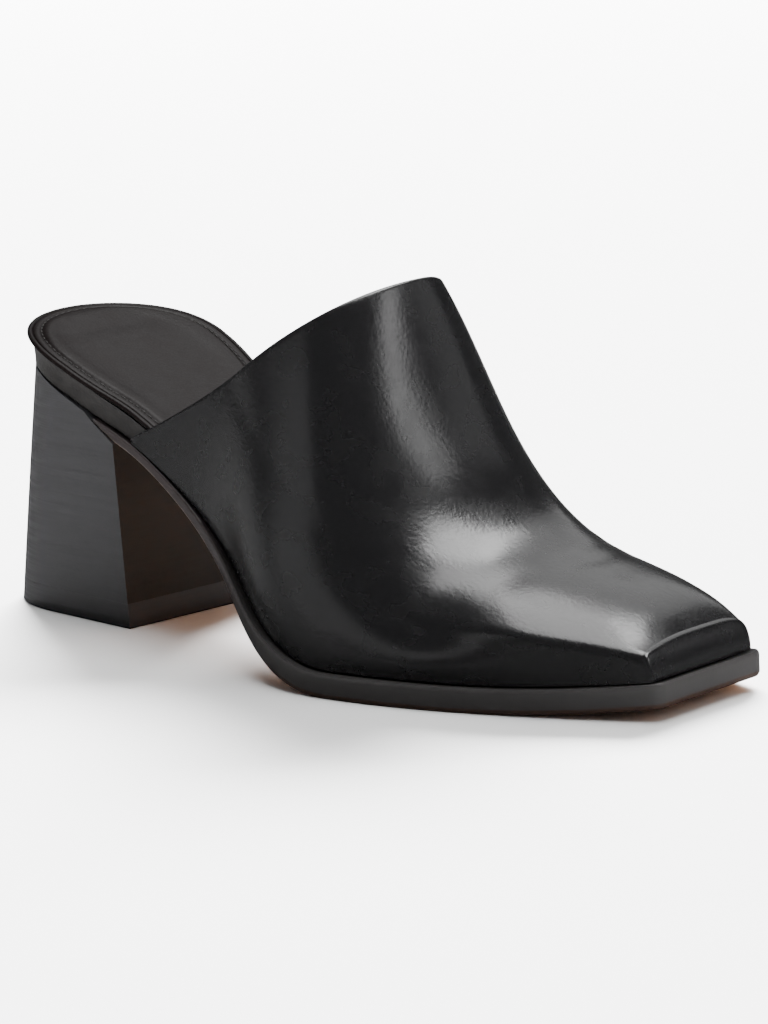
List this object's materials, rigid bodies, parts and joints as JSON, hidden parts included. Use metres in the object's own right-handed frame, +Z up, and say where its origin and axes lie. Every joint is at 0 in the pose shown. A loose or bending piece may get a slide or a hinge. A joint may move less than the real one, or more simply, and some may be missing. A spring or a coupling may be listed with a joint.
{
  "type": "block heel mule",
  "caption": "Black leather mule with a square toe, a plain high vamp, a thin sole, a wrapped footbed and a flared block heel; one right shoe",
  "frame": {"origin": "on the floor under the middle of the heel's tread", "axes": "+X runs from heel to toe, +Y to the inner side of the foot, +Z up"},
  "size_m": [0.2426, 0.0851, 0.0972],
  "materials": {
    "upper_leather": "smooth polished black leather",
    "sole_resin": "satin moulded sole, black at the forefoot and dark brown in the waist",
    "wrapped_leather": "satin black leather wrap",
    "sock_leather": "smooth dark brown leather lining",
    "heel_stack": "satin black with fine level layers",
    "lift_rubber": "matte black"
  },
  "bodies": {
    "root": {"upper": "upper_leather", "outsole": "sole_resin", "insole": "wrapped_leather", "sock_lining": "sock_leather", "heel_block": "heel_stack", "heel_top_lift": "lift_rubber"}
  },
  "joints": []
}
